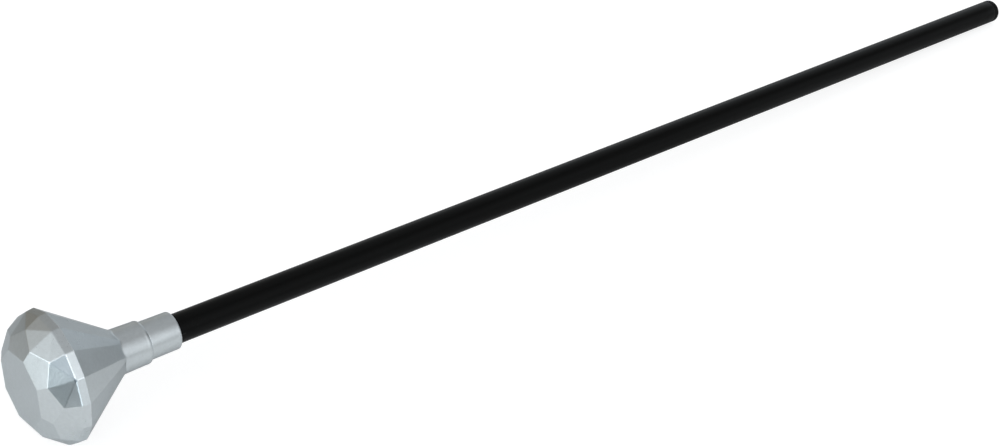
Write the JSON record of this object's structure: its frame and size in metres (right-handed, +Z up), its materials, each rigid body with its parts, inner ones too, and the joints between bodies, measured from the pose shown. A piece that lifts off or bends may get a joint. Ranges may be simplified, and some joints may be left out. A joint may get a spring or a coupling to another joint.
{
  "type": "magic wand",
  "caption": "Long slim black wand with a faceted diamond-shaped silver head on a stepped round collar; the head pulls off its sleeve and the end plug pulls out.",
  "frame": {"origin": "centre of the flat table on the front of the diamond head", "axes": "+X along the wand from the head to the tip, +Z up with a flat of the girdle facing down, +Y to the left when looking from the head to the tip"},
  "size_m": [0.983, 0.0872, 0.0872],
  "materials": {
    "silver_paint": "satin metallic silver paint with a fine grain over moulded plastic",
    "black_tube": "satin black extruded tube with faint lengthwise streaks",
    "black_cap": "matt black moulded plug",
    "beech": "bare turned beech",
    "zinc_plate": "bright zinc plate"
  },
  "bodies": {
    "shaft": {"shaft_tube": "black_tube", "shaft_dowel": "beech", "ferrule": "silver_paint", "ferrule_screw": "zinc_plate"},
    "head": {"crown_shell": "silver_paint", "pavilion_shell": "silver_paint", "crown_screw": "zinc_plate"},
    "tip": {"tip_cap": "black_cap"}
  },
  "joints": [
    {"name": "head_pull", "type": "slide", "parent": "shaft", "child": "head", "axis": [-1, 0, 0], "range_m": [0, 0.042]},
    {"name": "tip_pull", "type": "slide", "parent": "shaft", "child": "tip", "axis": [1, 0, 0], "range_m": [0, 0.02]}
  ]
}
